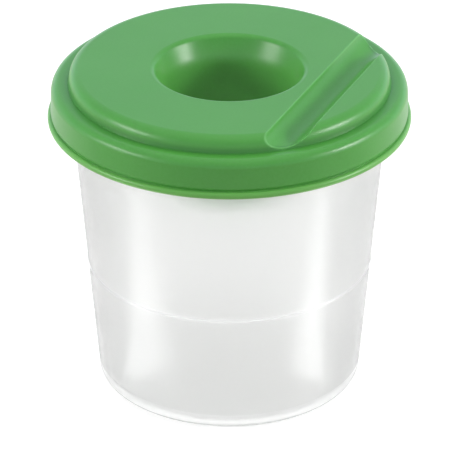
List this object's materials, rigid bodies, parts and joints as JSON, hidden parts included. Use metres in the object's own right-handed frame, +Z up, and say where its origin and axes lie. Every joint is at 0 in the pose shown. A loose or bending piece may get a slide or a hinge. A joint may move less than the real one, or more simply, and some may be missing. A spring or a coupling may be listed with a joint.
{
  "type": "paint cup with lid",
  "caption": "Tapered translucent paint or water cup with a push-on lid: central anti-spill funnel, brush-rest groove across the top.",
  "frame": {"origin": "centre of the base, on the plane of the foot ring that the cup stands on", "axes": "+Z up along the cup's axis; the brush groove runs along Y and lies on the +X side of the funnel"},
  "size_m": [0.09, 0.09, 0.0843],
  "materials": {
    "cup_plastic": "frosted translucent polypropylene",
    "lid_plastic": "green, smooth satin-gloss moulding"
  },
  "bodies": {
    "cup": {"cup": "cup_plastic"},
    "lid": {"lid": "lid_plastic"}
  },
  "joints": [
    {"name": "lid_lift", "type": "slide", "parent": "cup", "child": "lid", "axis": [0, 0, 1], "range_m": [0, 0.04]}
  ]
}
